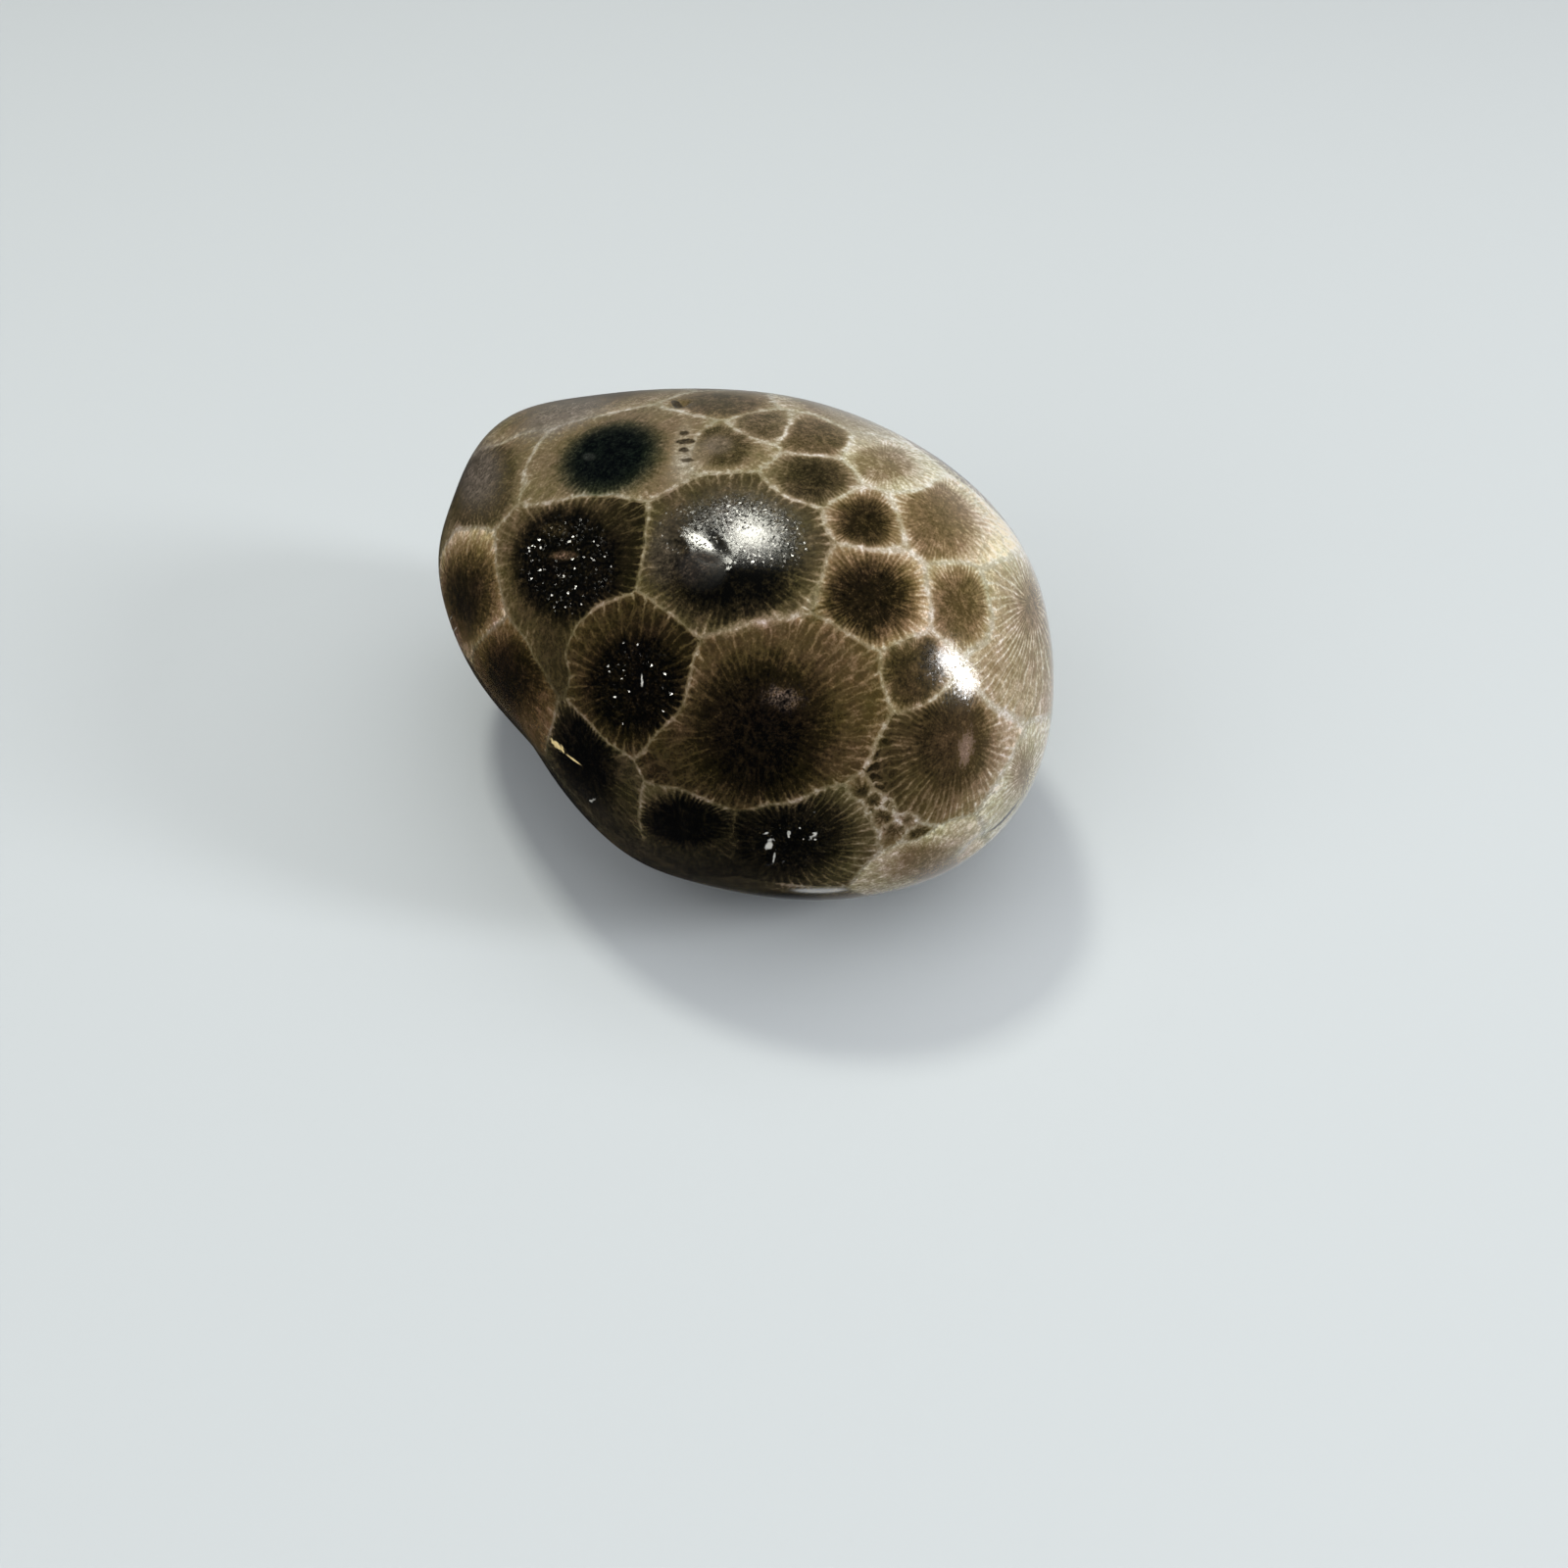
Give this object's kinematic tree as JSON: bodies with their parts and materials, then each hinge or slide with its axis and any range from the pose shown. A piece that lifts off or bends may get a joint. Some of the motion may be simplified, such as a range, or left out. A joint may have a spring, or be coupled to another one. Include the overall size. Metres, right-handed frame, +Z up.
{
  "type": "petoskey stone",
  "caption": "Egg-shaped polished fossil coral pebble that lies on a small flat spot, with a fine net of corallites over its whole surface.",
  "frame": {"origin": "middle of the small flat spot that the stone rests on", "axes": "+Z up from the flat spot, +X along the stone's length towards its broad end, +Y across it, away from the face that the picture shows"},
  "size_m": [0.0528, 0.037, 0.0322],
  "materials": {
    "stone": "gloss"
  },
  "bodies": {
    "root": {"petoskey_stone": "stone"}
  },
  "joints": []
}
